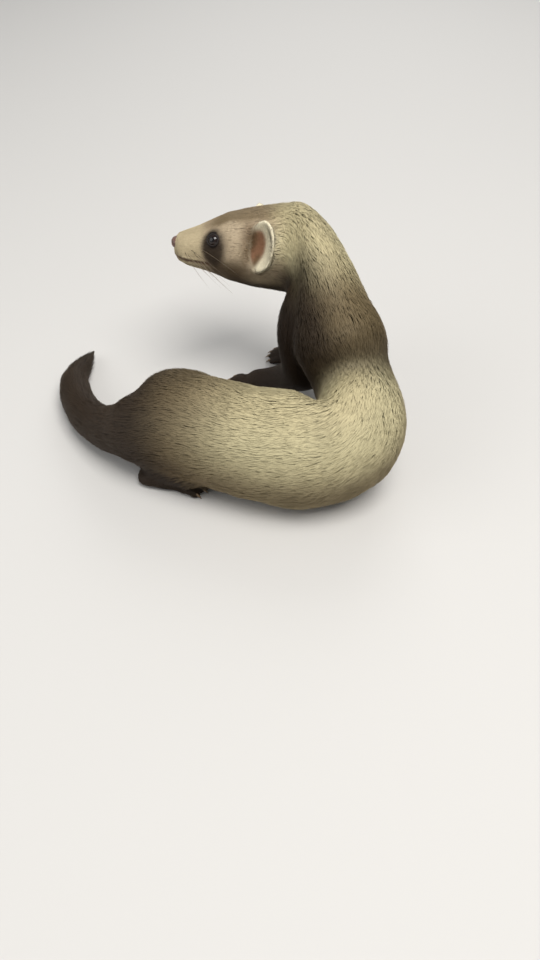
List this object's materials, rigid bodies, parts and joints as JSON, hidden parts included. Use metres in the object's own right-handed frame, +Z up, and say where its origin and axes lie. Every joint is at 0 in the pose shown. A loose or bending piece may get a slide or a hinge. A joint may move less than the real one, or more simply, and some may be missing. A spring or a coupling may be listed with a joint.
{
  "type": "ferret",
  "caption": "Life-size ferret as a still model: hindquarters crouched, body turned tightly to its left, front half up on the forelegs, head looking back over the hips.",
  "frame": {"origin": "middle of the bounding box on the floor that the ferret rests on", "axes": "+Z up; -X the way the head looks; -Y the outer side of the curled hindquarters"},
  "size_m": [0.2098, 0.1711, 0.1228],
  "materials": {
    "face_fur": "short soft fur, grey brown with a pale muzzle",
    "cream_fur": "soft cream fur",
    "saddle_fur": "cream underfur with brown guard hair",
    "dark_fur": "dark brown fur",
    "ear_fur": "very short pale fur",
    "nose_leather": "moist skin",
    "eye": "wet and glossy"
  },
  "bodies": {
    "root": {"head": "face_fur", "nose": "nose_leather", "eye_left": "eye", "eye_right": "eye", "ear_left": "ear_fur", "ear_right": "ear_fur", "neck": "cream_fur", "chest": "saddle_fur", "loin": "cream_fur", "hips": "cream_fur", "tail_base": "dark_fur", "tail_middle": "dark_fur", "tail_tip": "dark_fur", "foreleg_left": "dark_fur", "foreleg_right": "dark_fur", "forefoot_left": "dark_fur", "forefoot_right": "dark_fur", "hindleg_left": "dark_fur", "hindleg_right": "dark_fur", "hindfoot_left": "dark_fur", "hindfoot_right": "dark_fur"}
  },
  "joints": []
}
